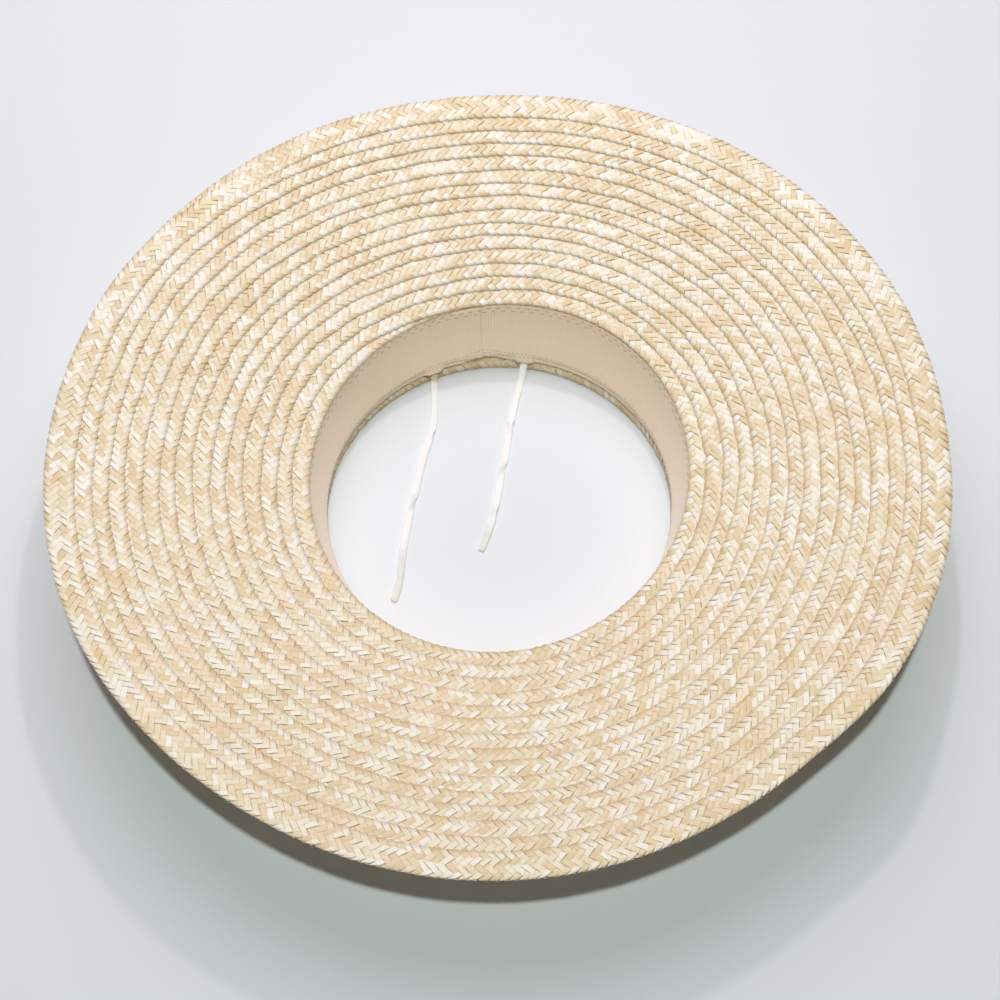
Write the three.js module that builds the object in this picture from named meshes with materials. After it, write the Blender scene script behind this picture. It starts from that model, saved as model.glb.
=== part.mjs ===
// Wide-brim straw sun visor without a crown, standing upside down on the edge of its crown band.
// Millimetres, +Z up, +X to the wearer's left, +Y to the back of the head. The origin is on the
// surface that the visor stands on, under the middle of the brim.
// Plaited straw braid is sewn round and round: the crown band rises from the surface, and the
// brim spreads outwards from its upper edge. A ribbon lines the band and hides a drawstring.

import * as THREE from 'three';

// Driving dimensions: ovals, measured across, front to back, and turned about Z in degrees
const opening_width = 173.8;
const opening_length = 195.2;
const opening_turn = -10.7;
const band_edge_width = 161.6;
const band_edge_length = 172.6;
const band_edge_turn = -5.3;

// Driving dimensions: brim and crown band
const opening_height = 37.5;
const brim_width = 118.4;
const brim_slope = 10.1;
const brim_rows = 15;
const band_rows = 5;
const braid_width = 13;
const braid_thickness = 1;

// Driving dimensions: ribbon, with the channel that the drawstring runs in
const ribbon_thickness = 0.8;
const ribbon_edge_height = 5.8;
const hem_height = 2.4;
const channel_height = 6;
const overlap_length = 9;
const overlap_fade = 5;
const seam_azimuth = 96;
const seam_lift = 2.5;
const seam_lift_reach = 15;

// Driving dimensions: flat drawstring and the two places where it leaves the ribbon
const cord_width = 3.5;
const cord_thickness = 1.2;
const left_exit_azimuth = 112;
const right_exit_azimuth = 82.3;
const exit_slant = 45;

// Clearances between neighbours that touch or are sewn together on the real visor
const clearance = 0.3;

// Steps of the round shapes
const round_steps = 50;
const turn_steps = 4;
const cord_sides = 8;
const degree = Math.PI / 180;

// Waves of the brim, as shares of its width: how far the rim stands above an even cone, and how
// far it reaches outwards past an even oval
const brim_waves = [
  { azimuth: 5, rise: -0.01, reach: -0.007 },
  { azimuth: 30, rise: -0.006, reach: 0 },
  { azimuth: 60, rise: 0.005, reach: 0 },
  { azimuth: 90, rise: -0.007, reach: -0.001 },
  { azimuth: 120, rise: 0.005, reach: 0.004 },
  { azimuth: 150, rise: 0.022, reach: -0.004 },
  { azimuth: 182, rise: -0.021, reach: 0.006 },
  { azimuth: 205, rise: 0.004, reach: 0.003 },
  { azimuth: 230, rise: 0.024, reach: -0.005 },
  { azimuth: 270, rise: -0.013, reach: 0.009 },
  { azimuth: 306, rise: 0.005, reach: -0.015 },
  { azimuth: 322, rise: 0.027, reach: 0.017 },
  { azimuth: 342, rise: -0.032, reach: 0.01 },
];

// Drawstring tails, laid on the surface by hand: x and y after each leaves the crown band
const left_tail_route = [
  [-31.6, 62.2], [-31.8, 53], [-33.3, 44.9], [-35.2, 36.7], [-37.2, 27.4], [-38.9, 17.5],
  [-40.8, 6], [-42.6, -5], [-43.9, -14], [-44.8, -23], [-45.5, -32], [-46.6, -41],
  [-48.3, -48.5],
];
const right_tail_route = [
  [6.9, 62.4], [5.3, 53], [3.9, 43], [2.6, 33], [1, 23], [-0.6, 12.5], [-2, 3], [-4, -6],
  [-6.3, -14], [-8.6, -20.5],
];

// Colours
const straw_finish = { color: 0xe6d2a6, roughness: 0.55, metalness: 0 };
const ribbon_finish = { color: 0xcdbb9c, roughness: 0.85, metalness: 0 };
const cord_finish = { color: 0xf1efe8, roughness: 0.8, metalness: 0 };

// Sizes that follow from the driving ones
const lip = clearance + ribbon_thickness;
const wall_height = opening_height - braid_thickness - clearance;
const ribbon_top = wall_height - clearance;
const channel_gap = cord_thickness + 2 * clearance;
const channel_half = cord_width / 2 + clearance;
const cord_level = ribbon_edge_height + channel_height;

// An oval: half its width and length, and its turn about Z
function oval(width, length, turn) {
  return { half_width: width / 2, half_length: length / 2, turn: turn * degree };
}

function mixOvals(low, high, share) {
  const mix = (name) => THREE.MathUtils.lerp(low[name], high[name], share);
  return { half_width: mix('half_width'), half_length: mix('half_length'), turn: mix('turn') };
}

// Point of an oval in one direction from its centre, moved outwards square to the oval
function ovalPoint(shape, azimuth, outward) {
  const direction = azimuth * degree - shape.turn;
  const angle = Math.atan2(
    Math.sin(direction) / shape.half_length,
    Math.cos(direction) / shape.half_width,
  );
  const cosine = Math.cos(angle);
  const sine = Math.sin(angle);
  const square = new THREE.Vector2(cosine / shape.half_width, sine / shape.half_length).normalize();
  const point = new THREE.Vector2(shape.half_width * cosine, shape.half_length * sine);
  return point.addScaledVector(square, outward).rotateAround(new THREE.Vector2(), shape.turn);
}

const opening = oval(opening_width, opening_length, opening_turn);
const band_edge = oval(band_edge_width, band_edge_length, band_edge_turn);
const band_top = oval(opening_width + 2 * lip, opening_length + 2 * lip, opening_turn);

// Point near the crown band's inner face: height above the surface and distance outwards
function wallPoint(azimuth, height, outward) {
  const place = ovalPoint(mixOvals(band_edge, band_top, height / wall_height), azimuth, outward);
  return new THREE.Vector3(place.x, place.y, height);
}

// Direction square to the leaning wall, outwards
function wallSquare(azimuth, height) {
  const around = wallPoint(azimuth + 1, height, 0).sub(wallPoint(azimuth - 1, height, 0));
  const upwards = wallPoint(azimuth, height + 1, 0).sub(wallPoint(azimuth, height - 1, 0));
  return around.cross(upwards).normalize();
}

// Wave of the rim in one direction, eased from row to row of the table of waves
function rimWave(azimuth) {
  const count = brim_waves.length;
  const next = Math.max(0, brim_waves.findIndex((wave) => wave.azimuth > azimuth));
  const after = brim_waves[next];
  const before = brim_waves[(next + count - 1) % count];
  const span = THREE.MathUtils.euclideanModulo(after.azimuth - before.azimuth, 360);
  const passed = THREE.MathUtils.euclideanModulo(azimuth - before.azimuth, 360);
  const share = THREE.MathUtils.smoothstep(passed, 0, span);
  const ease = (name) => brim_width * THREE.MathUtils.lerp(before[name], after[name], share);
  return { rise: ease('rise'), reach: ease('reach') };
}

// Point of the brim: distance from its inner edge along the slope, and depth under its upper side
function brimPoint(azimuth, along, depth) {
  const wave = rimWave(azimuth);
  const growth = (along / brim_width) ** 2;
  const outward = along * Math.cos(brim_slope * degree) + growth * wave.reach;
  const rise = along * Math.sin(brim_slope * degree) + growth * wave.rise;
  const place = ovalPoint(opening, azimuth, outward);
  return new THREE.Vector3(place.x, place.y, opening_height + rise - depth);
}

// A bump that is 1 at its middle and fades to 0 at its reach
function bump(distance, reach) {
  return 1 - THREE.MathUtils.smoothstep(Math.abs(distance), 0, reach);
}

// Distance along the crown band from one direction to another, positive anticlockwise
function arcBetween(from, to) {
  const turn = THREE.MathUtils.euclideanModulo(to - from + 180, 360) - 180;
  return turn * degree * ovalPoint(band_edge, from, 0).length();
}

// Direction that lies a distance along the crown band from another one
function azimuthAlong(from, distance) {
  return from + distance / (degree * ovalPoint(band_edge, from, 0).length());
}

// Profile of rows of braid that overlap like shingles over a length: the back side first, then
// the face, where the start of each row lies on the end of the one before it
function shingleProfile(rows, length) {
  const pitch = (length - braid_width) / (rows - 1);
  const back = [];
  const face = [];
  for (let row = 0; row < rows; row += 1) {
    const start = row * pitch;
    const end = start + braid_width;
    const drop = (along) => (braid_thickness * (along - start)) / pitch;
    const bare_from = row === 0 ? start : end - pitch;
    const bare_to = row === rows - 1 ? end : start + pitch;
    back.push({ along: bare_from, depth: drop(bare_from) + braid_thickness });
    back.push({ along: end, depth: drop(end) + braid_thickness });
    face.push({ along: start, depth: 0 }, { along: bare_to, depth: drop(bare_to) });
  }
  return [...back, ...face.reverse()];
}

// Closed solid through sections that all have the same number of points. A ring joins its last
// section to its first, and anything else is capped at both ends.
function loft(sections, is_ring) {
  const count = sections[0].length;
  const faces = [];
  const steps = is_ring ? sections.length : sections.length - 1;
  for (let step = 0; step < steps; step += 1) {
    const here = step * count;
    const there = ((step + 1) % sections.length) * count;
    for (let side = 0; side < count; side += 1) {
      const next = (side + 1) % count;
      faces.push(here + side, there + side, there + next);
      faces.push(here + side, there + next, here + next);
    }
  }
  if (!is_ring) {
    const last = (sections.length - 1) * count;
    for (let side = 1; side < count - 1; side += 1) {
      faces.push(0, side, side + 1);
      faces.push(last, last + side + 1, last + side);
    }
  }
  const geometry = new THREE.BufferGeometry();
  geometry.setFromPoints(sections.flat());
  geometry.setIndex(faces);
  return geometry;
}

// Directions of the sections: even steps, with more of them where the ribbon changes quickly
function sectionAzimuths(extra) {
  const step = 360 / round_steps;
  const even = Array.from({ length: round_steps }, (_, index) => index * step);
  const isFar = (azimuth) => extra.every((other) => Math.abs(other - azimuth) > step / 4);
  return [...even.filter(isFar), ...extra].sort((one, other) => one - other);
}

const exit_azimuths = [left_exit_azimuth, right_exit_azimuth];
const exit_half = cord_width / 2 + 2 * clearance;
const exit_fade = exit_half + cord_width;
const exit_sections = exit_azimuths.flatMap((azimuth) =>
  [-exit_fade, -exit_half, exit_half, exit_fade].map((far) => azimuthAlong(azimuth, far)));
const seam_sections = [0, clearance, overlap_length, overlap_length + overlap_fade].map((far) =>
  azimuthAlong(seam_azimuth, far));
const wall_azimuths = sectionAzimuths([...exit_sections, ...seam_sections]);

function brimGeometry() {
  const profile = shingleProfile(brim_rows, brim_width);
  const sections = sectionAzimuths([]).map((azimuth) =>
    profile.map((point) => brimPoint(azimuth, point.along, point.depth)));
  return loft(sections, true);
}

function crownBandGeometry() {
  const profile = shingleProfile(band_rows, wall_height);
  const sections = wall_azimuths.map((azimuth) =>
    profile.map((point) => wallPoint(azimuth, point.along, point.depth)));
  return loft(sections, true);
}

// Height of the ribbon's lower edge, lifted where its two ends meet
function ribbonEdge(azimuth) {
  const lift = seam_lift * bump(arcBetween(seam_azimuth, azimuth), seam_lift_reach);
  return ribbon_edge_height + lift;
}

// Space behind the ribbon's lower hem: sewn close, and open for the cord at the two exits
function hemGap(azimuth) {
  const nearest = Math.min(...exit_azimuths.map((exit) => Math.abs(arcBetween(exit, azimuth))));
  const openness = 1 - THREE.MathUtils.smoothstep(nearest, exit_half, exit_fade);
  return THREE.MathUtils.lerp(clearance, channel_gap, openness);
}

// The ribbon is two layers thick where its left end lies over the other one, from the seam on
function ribbonLayers(azimuth) {
  const past_seam = arcBetween(seam_azimuth, azimuth);
  if (past_seam < clearance / 2) return 1;
  return 2 - THREE.MathUtils.smoothstep(past_seam, overlap_length, overlap_length + overlap_fade);
}

function ribbonSection(azimuth) {
  const edge = ribbonEdge(azimuth);
  const low = cord_level - channel_half;
  const high = cord_level + channel_half;
  const outer = [
    { height: edge, gap: hemGap(azimuth) },
    { height: Math.max(low - hem_height / 2, edge + clearance), gap: hemGap(azimuth) },
    { height: low, gap: channel_gap },
    { height: high, gap: channel_gap },
    { height: high + hem_height, gap: clearance },
    { height: ribbon_top, gap: clearance },
  ];
  const thickness = ribbon_thickness * ribbonLayers(azimuth);
  const inner = outer.map((point) => ({ height: point.height, gap: point.gap + thickness }));
  return [...outer, ...inner.reverse()].map((point) => wallPoint(azimuth, point.height, -point.gap));
}

function sweatbandGeometry() {
  return loft(wall_azimuths.map(ribbonSection), true);
}

// Hidden run of the drawstring: up from one exit, round the front, and down to the other
function hiddenRunStops() {
  const radius = channel_height - clearance / 2;
  const turnUp = (exit, side) =>
    Array.from({ length: turn_steps + 1 }, (_, step) => {
      const angle = (step / turn_steps) * 90 * degree;
      return {
        azimuth: azimuthAlong(exit, side * radius * (1 - Math.cos(angle))),
        height: cord_level - radius * (1 - Math.sin(angle)),
      };
    });
  const rising = turnUp(left_exit_azimuth, 1);
  const falling = turnUp(right_exit_azimuth, -1).reverse();
  const from = rising[rising.length - 1].azimuth + 1;
  const to = falling[0].azimuth + 360 - 1;
  const round = wall_azimuths
    .map((azimuth) => (azimuth < from ? azimuth + 360 : azimuth))
    .filter((azimuth) => azimuth > from && azimuth < to)
    .sort((one, other) => one - other)
    .map((azimuth) => ({ azimuth, height: cord_level }));
  return [...rising, ...round, ...falling];
}

// Flat cord along stops behind the ribbon, with its broad side against the wall
function hiddenRunGeometry() {
  const gap = clearance + cord_thickness / 2;
  const stops = hiddenRunStops();
  const places = stops.map((stop) => wallPoint(stop.azimuth, stop.height, -gap));
  const sections = places.map((place, index) => {
    const ahead = places[Math.min(index + 1, places.length - 1)];
    const behind = places[Math.max(index - 1, 0)];
    const forward = ahead.clone().sub(behind).normalize();
    const outward = wallSquare(stops[index].azimuth, stops[index].height);
    const across = new THREE.Vector3().crossVectors(forward, outward).normalize();
    return cordOutline().map((point) =>
      place.clone().addScaledVector(across, point.x).addScaledVector(outward, point.y));
  });
  return loft(sections, false);
}

// Outline of the flat cord, its width along x
function cordOutline() {
  return Array.from({ length: cord_sides }, (_, side) => {
    const angle = ((side + 0.5) / cord_sides) * 2 * Math.PI;
    const widen = 1 / Math.cos(Math.PI / cord_sides);
    return new THREE.Vector2(
      (widen * cord_width * Math.cos(angle)) / 2,
      (widen * cord_thickness * Math.sin(angle)) / 2,
    );
  });
}

// Drawstring tail: out of the ribbon's hem on a slant, down to the floor, then along its route
function tailGeometry(exit_azimuth, route) {
  const gap = clearance + cord_thickness / 2;
  const laid = cord_thickness / 2 + clearance / 3;
  const slant = exit_slant * degree;
  const below_ribbon = clearance / 2 + (cord_thickness / 2) * Math.sin(slant);
  const exit = wallPoint(exit_azimuth, ribbon_edge_height - below_ribbon, -gap);
  const floor = route.map(([x, y]) => new THREE.Vector3(x, y, laid));
  const under_exit = exit.clone().setZ(laid);
  const along = floor[0].clone().sub(under_exit).normalize();
  const drop = exit.z - laid;
  const corner = under_exit.addScaledVector(along, drop * Math.tan(slant));
  const bend = new THREE.QuadraticBezierCurve3(
    exit.clone().lerp(corner, 0.1),
    corner,
    corner.clone().addScaledVector(along, drop / Math.cos(slant)),
  );
  const curve = new THREE.CatmullRomCurve3([exit, ...bend.getPoints(turn_steps), ...floor]);
  return new THREE.ExtrudeGeometry(new THREE.Shape(cordOutline()), {
    extrudePath: curve,
    steps: Math.round(curve.getLength() / (2.2 * cord_width)),
  });
}

function piece(name, geometry, finish) {
  const mesh = new THREE.Mesh(geometry, new THREE.MeshStandardMaterial(finish));
  mesh.name = name;
  return mesh;
}

const visor = new THREE.Group();
visor.add(
  piece('brim', brimGeometry(), straw_finish),
  piece('crown_band', crownBandGeometry(), straw_finish),
  piece('sweatband', sweatbandGeometry(), ribbon_finish),
  piece('drawstring_run', hiddenRunGeometry(), cord_finish),
  piece('drawstring_tail_left', tailGeometry(left_exit_azimuth, left_tail_route), cord_finish),
  piece('drawstring_tail_right', tailGeometry(right_exit_azimuth, right_tail_route), cord_finish),
);

export default visor;
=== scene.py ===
# %% [markdown]
# # A wide-brim straw sun visor
#
# The visor has no crown. Flat straw braid is sewn round and round into a short crown band and a
# wide brim, a ribbon lines the band, and a flat drawstring comes out at the back. It stands
# upside down on the edge of its band.
#
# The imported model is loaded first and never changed: each visible piece below takes the place
# of one of its solids and keeps to the space that the solid holds.

# %% Load the frame
import math

import bpy
import numpy as np
from mathutils import Matrix, Vector


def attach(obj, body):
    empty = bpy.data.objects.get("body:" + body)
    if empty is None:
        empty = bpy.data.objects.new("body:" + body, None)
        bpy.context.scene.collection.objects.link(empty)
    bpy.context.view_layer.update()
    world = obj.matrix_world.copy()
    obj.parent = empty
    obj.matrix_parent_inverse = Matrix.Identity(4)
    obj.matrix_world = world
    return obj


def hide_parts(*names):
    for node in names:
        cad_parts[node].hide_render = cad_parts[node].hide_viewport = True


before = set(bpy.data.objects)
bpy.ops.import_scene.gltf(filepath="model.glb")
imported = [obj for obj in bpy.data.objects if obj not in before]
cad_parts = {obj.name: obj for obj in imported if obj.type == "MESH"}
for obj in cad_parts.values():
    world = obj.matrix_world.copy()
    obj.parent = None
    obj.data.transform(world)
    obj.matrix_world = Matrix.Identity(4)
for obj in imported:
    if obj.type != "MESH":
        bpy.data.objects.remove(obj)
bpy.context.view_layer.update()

MM = 0.001
print("solids:", sorted(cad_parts))

# %% [markdown]
# ## The camera
#
# A camera can be aimed by eye, or worked out. Here it was worked out: the three ovals of the
# visor, which are the rim, the opening and the edge of the band, fix how steeply the camera
# looks down and how far away it is. A long lens keeps the far rim nearly as large as the near one.

# %% Camera at the photograph's angle
CAMERA_ELEVATION = math.radians(55.94)
CAMERA_DISTANCE = 1.2
CAMERA_ROLL = math.radians(0.3)
CAMERA_AIM = Vector((0.23 * MM, 8.47 * MM, 0))
SENSOR_WIDTH = 36.0
LENS_PER_WIDTH = 2.54167


def camera_axes():
    """The camera's right, up and backward directions."""
    forward = Vector((0, math.cos(CAMERA_ELEVATION), -math.sin(CAMERA_ELEVATION)))
    level = Vector((1, 0, 0))
    upright = level.cross(forward)
    right = math.cos(CAMERA_ROLL) * level + math.sin(CAMERA_ROLL) * upright
    return right, right.cross(forward), -forward


def make_camera():
    right, up, backward = camera_axes()
    data = bpy.data.cameras.new("camera")
    data.sensor_width = SENSOR_WIDTH
    data.lens = SENSOR_WIDTH * LENS_PER_WIDTH
    camera = bpy.data.objects.new("camera", data)
    turn = Matrix((right, up, backward)).transposed().to_4x4()
    camera.matrix_world = Matrix.Translation(CAMERA_AIM + CAMERA_DISTANCE * backward) @ turn
    bpy.context.scene.collection.objects.link(camera)
    bpy.context.scene.camera = camera
    return camera


camera = make_camera()
bpy.context.scene.view_settings.view_transform = "Standard"
print("camera stands at", [round(x, 3) for x in camera.matrix_world.translation])

# %% [markdown]
# ## Where everything goes
#
# Every piece follows one of two surfaces: the leaning wall of the crown band, and the brim, a
# shallow cone with gentle waves. Both start from ovals. So a few functions give a point from a
# direction, a distance and a depth, and each piece asks them for its own points. They work on
# whole arrays at once, which keeps the script quick.

# %% Ovals of the band and the opening
OPENING = {"half_width": 86.9 * MM, "half_length": 97.6 * MM, "turn": math.radians(-10.7)}
BAND_EDGE = {"half_width": 80.8 * MM, "half_length": 86.3 * MM, "turn": math.radians(-5.3)}
OPENING_HEIGHT = 37.5 * MM
BRAID_WIDTH = 13 * MM
BRAID_LIFT = 1.0 * MM
CLEARANCE = 0.3 * MM
RIBBON_THICKNESS = 0.8 * MM
WALL_HEIGHT = OPENING_HEIGHT - BRAID_LIFT - CLEARANCE


def mix(low, high, share):
    return low + (high - low) * share


def run_along(points):
    """How far along a line of points each of them lies."""
    steps = np.linalg.norm(np.diff(points, axis=0), axis=1)
    return np.concatenate([[0], np.cumsum(steps)])


def smoothstep(value, low, high):
    share = np.clip((value - low) / (high - low), 0, 1)
    return share * share * (3 - 2 * share)


def oval_point(oval, azimuth, outward=0.0):
    """Points of an oval in the directions azimuth, in degrees, moved outwards square to it."""
    direction = np.radians(azimuth) - oval["turn"]
    angle = np.arctan2(
        np.sin(direction) / oval["half_length"], np.cos(direction) / oval["half_width"]
    )
    x, y = oval["half_width"] * np.cos(angle), oval["half_length"] * np.sin(angle)
    square_x, square_y = np.cos(angle) / oval["half_width"], np.sin(angle) / oval["half_length"]
    length = np.hypot(square_x, square_y)
    x, y = x + outward * square_x / length, y + outward * square_y / length
    cosine, sine = np.cos(oval["turn"]), np.sin(oval["turn"])
    return cosine * x - sine * y, sine * x + cosine * y


LIP = CLEARANCE + RIBBON_THICKNESS
BAND_TOP = {
    "half_width": OPENING["half_width"] + LIP,
    "half_length": OPENING["half_length"] + LIP,
    "turn": OPENING["turn"],
}


def wall_point(azimuth, height, outward=0.0):
    """Points by the crown band's inner face."""
    azimuth, height, outward = np.broadcast_arrays(azimuth, height, outward)
    share = height / WALL_HEIGHT
    oval = {name: mix(BAND_EDGE[name], BAND_TOP[name], share) for name in BAND_EDGE}
    x, y = oval_point(oval, azimuth, outward)
    return np.stack([x, y, height], axis=-1)


print("wall top at", wall_point(90.0, WALL_HEIGHT).round(4))

# %% [markdown]
# The brim's rim isn't flat. Straw that has been packed and worn keeps low waves, which a short
# table holds: how far the rim stands above an even cone, and how far it reaches out, in the
# direction of each row. Between rows the wave is eased, and it fades towards the opening.

# %% The brim's cone and its waves
BRIM_WIDTH = 118.4 * MM
BRIM_SLOPE = math.radians(10.1)
BRIM_ROWS = 15
WAVE_COLUMNS = ("azimuth", "rise", "reach")
WAVE_ROWS = [
    (5, -0.01, -0.007), (30, -0.006, 0), (60, 0.005, 0), (90, -0.007, -0.001),
    (120, 0.005, 0.004), (150, 0.022, -0.004), (182, -0.021, 0.006), (205, 0.004, 0.003),
    (230, 0.024, -0.005), (270, -0.013, 0.009), (306, 0.005, -0.015), (322, 0.027, 0.017),
    (342, -0.032, 0.01),
]
BRIM_WAVES = [dict(zip(WAVE_COLUMNS, row)) for row in WAVE_ROWS]


def rim_wave(azimuth, name):
    """The column name of the table in the directions azimuth, eased from row to row."""
    wave = np.zeros_like(azimuth, dtype=float)
    for before, after in zip(BRIM_WAVES, BRIM_WAVES[1:] + BRIM_WAVES[:1]):
        span = (after["azimuth"] - before["azimuth"]) % 360
        passed = (azimuth - before["azimuth"]) % 360
        share = smoothstep(passed, 0, span)
        wave = np.where(passed < span, mix(before[name], after[name], share), wave)
    return wave * BRIM_WIDTH


def brim_point(azimuth, along, depth=0.0):
    """Points of the brim at a distance from its inner edge and a depth under its upper side."""
    azimuth, along, depth = np.broadcast_arrays(azimuth, along, depth)
    growth = (along / BRIM_WIDTH) ** 2
    outward = along * math.cos(BRIM_SLOPE) + growth * rim_wave(azimuth, "reach")
    rise = along * math.sin(BRIM_SLOPE) + growth * rim_wave(azimuth, "rise")
    x, y = oval_point(OPENING, azimuth, outward)
    return np.stack([x, y, OPENING_HEIGHT + rise - depth], axis=-1)


print("rim reaches", brim_point(90.0, BRIM_WIDTH).round(4))

# %% [markdown]
# ## Materials
#
# Each finish is a Principled shader in a material of its own. What varies over the surface, such
# as the tone from straw to straw, comes from a node group, so that it is written once. Values
# that are the same all over sit on the shader's own sockets.

# %% Helpers for node trees
def add_node(tree, kind, inputs=None, **settings):
    """Adds a node, sets its properties, and fills inputs with values or links by name or index."""
    node = tree.nodes.new(kind)
    for name, value in settings.items():
        setattr(node, name, value)
    for key, value in (inputs or {}).items():
        socket = node.inputs[key]
        if isinstance(value, bpy.types.NodeSocket):
            tree.links.new(value, socket)
        else:
            socket.default_value = value
    return node


def do_math(tree, operation, *values):
    """A Math node on links or numbers, and its result."""
    return add_node(tree, "ShaderNodeMath", dict(enumerate(values)), operation=operation).outputs[0]


def do_vector(tree, operation, *values):
    """A Vector Math node on links or vectors, and its vector result."""
    node = add_node(tree, "ShaderNodeVectorMath", dict(enumerate(values)), operation=operation)
    return node.outputs["Vector"]


def new_group(name, kind, inputs, outputs):
    """A node group with sockets given as name and kind, what it takes in and what it gives."""
    group = bpy.data.node_groups.new(name, kind)
    for direction, sockets in (("INPUT", inputs), ("OUTPUT", outputs)):
        for socket, socket_kind in sockets.items():
            group.interface.new_socket(socket, in_out=direction, socket_type="NodeSocket" + socket_kind)
    source, result = group.nodes.new("NodeGroupInput"), group.nodes.new("NodeGroupOutput")
    return group, source.outputs, result.inputs


def new_material(name, sockets):
    """A material whose Principled shader has these values on its own sockets."""
    material = bpy.data.materials.new(name)
    material.use_nodes = True
    shader = material.node_tree.nodes["Principled BSDF"]
    for socket, value in sockets.items():
        shader.inputs[socket].default_value = value
    return material, material.node_tree, shader


def linear(red, green, blue):
    """A colour given in display values from 0 to 255, as the linear values that nodes take."""
    shares = np.array([red, green, blue]) / 255
    return (*np.where(shares > 0.04045, ((shares + 0.055) / 1.055) ** 2.4, shares / 12.92), 1.0)


def ramp(tree, factor, stops):
    """A colour ramp through (position, colour) stops."""
    node = add_node(tree, "ShaderNodeValToRGB", {"Fac": factor})
    elements = node.color_ramp.elements
    elements[0].position, elements[0].color = stops[0]
    elements[1].position, elements[1].color = stops[-1]
    for position, colour in stops[1:-1]:
        elements.new(position).color = colour
    return node.outputs["Color"]


def scaled(tree, vector, factor):
    """A vector times a number."""
    node = add_node(tree, "ShaderNodeVectorMath", {0: vector, "Scale": factor}, operation="SCALE")
    return node.outputs["Vector"]


def mix_colours(tree, factor, low, high):
    """From one colour to the other. The Mix node's colour sockets are its seventh and eighth."""
    node = add_node(tree, "ShaderNodeMix", {0: factor, 6: low, 7: high}, data_type="RGBA")
    return node.outputs[2]


print("helpers ready")

# %% [markdown]
# Some nodes are needed in several trees, each time with the same few inputs, and have a function
# of their own.

# %% Nodes that come back
def separated(tree, vector):
    """The parts X, Y and Z of a vector, by name."""
    return add_node(tree, "ShaderNodeSeparateXYZ", {"Vector": vector}).outputs


def combined(tree, **parts):
    """A vector from its parts X, Y and Z."""
    return add_node(tree, "ShaderNodeCombineXYZ", parts).outputs[0]


def noise(tree, place, scale, detail, more=None, **settings):
    """A noise at a place. Its first output is a number and its second a colour."""
    inputs = {"Vector": place, "Scale": scale, "Detail": detail, **(more or {})}
    return add_node(tree, "ShaderNodeTexNoise", inputs, **settings).outputs


def added_spread(tree, base, value, middle, depth):
    """A base, and on it how far a value lies from its middle, times a depth."""
    return do_math(tree, "MULTIPLY_ADD", do_math(tree, "SUBTRACT", value, middle), depth, base)


def other_chance(tree, chance, factor):
    """A second chance number from 0 to 1, out of a first one."""
    return do_math(tree, "FRACT", do_math(tree, "MULTIPLY", chance, factor))


def read(tree, name, output="Vector"):
    """What a material reads of the attribute with that name."""
    return add_node(tree, "ShaderNodeAttribute", attribute_name=name).outputs[output]


def add_bump(tree, shader, height, strength, distance):
    inputs = {"Strength": strength, "Distance": distance, "Height": height}
    normal = add_node(tree, "ShaderNodeBump", inputs).outputs["Normal"]
    tree.links.new(normal, shader.inputs["Normal"])


def stored(tree, name, kind="FLOAT_VECTOR"):
    """The attribute with that name, in a geometry tree."""
    node = add_node(tree, "GeometryNodeInputNamedAttribute", {"Name": name}, data_type=kind)
    return node.outputs["Attribute"]


def dressed(tree, geometry, material):
    """The geometry shaded smooth, in its finish."""
    smooth = add_node(tree, "GeometryNodeSetShadeSmooth", {0: geometry}).outputs[0]
    inputs = {"Geometry": smooth, "Material": material}
    return add_node(tree, "GeometryNodeSetMaterial", inputs).outputs[0]


print("more helpers ready")

# %% [markdown]
# The mesh helpers come next. One links a mesh at the origin, one makes it from points, one gives
# the faces of a tube and one stores vectors on its points. Another lets a tree of nodes grow a
# mesh along a guide, and the last ties a finished piece to the body and hides its solid.

# %% Helpers for meshes
def link(name, mesh):
    """A new object at the origin that holds the mesh."""
    made = bpy.data.objects.new(name, mesh)
    bpy.context.scene.collection.objects.link(made)
    return made


def mesh_from(name, points, faces):
    mesh = bpy.data.meshes.new(name)
    mesh.from_pydata(np.asarray(points).reshape(-1, 3).tolist(), [], faces)
    mesh.update()
    return mesh


def strip_faces(rows, sides, ring=False):
    """Quads round a tube of rows with this many sides, open at both ends or closed to a ring."""
    return [
        (row * sides + side, row * sides + (side + 1) % sides,
         (row + 1) % rows * sides + (side + 1) % sides, (row + 1) % rows * sides + side)
        for row in range(rows if ring else rows - 1)
        for side in range(sides)
    ]


def store_vectors(mesh, name, vectors):
    attribute = mesh.attributes.new(name, "FLOAT_VECTOR", "POINT")
    attribute.data.foreach_set("vector", np.asarray(vectors).ravel())


def grown(name, guide_points, ring, stored_name, vectors, nodes, values):
    """What a tree of nodes makes along a guide, whose points store vectors under a name."""
    count = len(guide_points)
    edges = [(step, (step + 1) % count) for step in range(count if ring else count - 1)]
    mesh = bpy.data.meshes.new(name + "_guide")
    mesh.from_pydata(guide_points.tolist(), edges, [])
    store_vectors(mesh, stored_name, vectors)
    guide = link(name + "_guide", mesh)
    modifier = guide.modifiers.new("nodes", "NODES")
    modifier.node_group = nodes
    for item in nodes.interface.items_tree:
        if item.name in values:
            modifier[item.identifier] = values[item.name]
    seen = guide.evaluated_get(bpy.context.evaluated_depsgraph_get())
    made = link(name, bpy.data.meshes.new_from_object(seen))
    bpy.data.objects.remove(guide)
    return made


def finish_piece(piece, node):
    """Ties a finished piece to the body and hides the solid that it stands for."""
    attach(piece, "root")
    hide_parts(node)
    print(piece.name, "has", len(piece.data.polygons), "faces")


print("mesh helpers ready")

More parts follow.
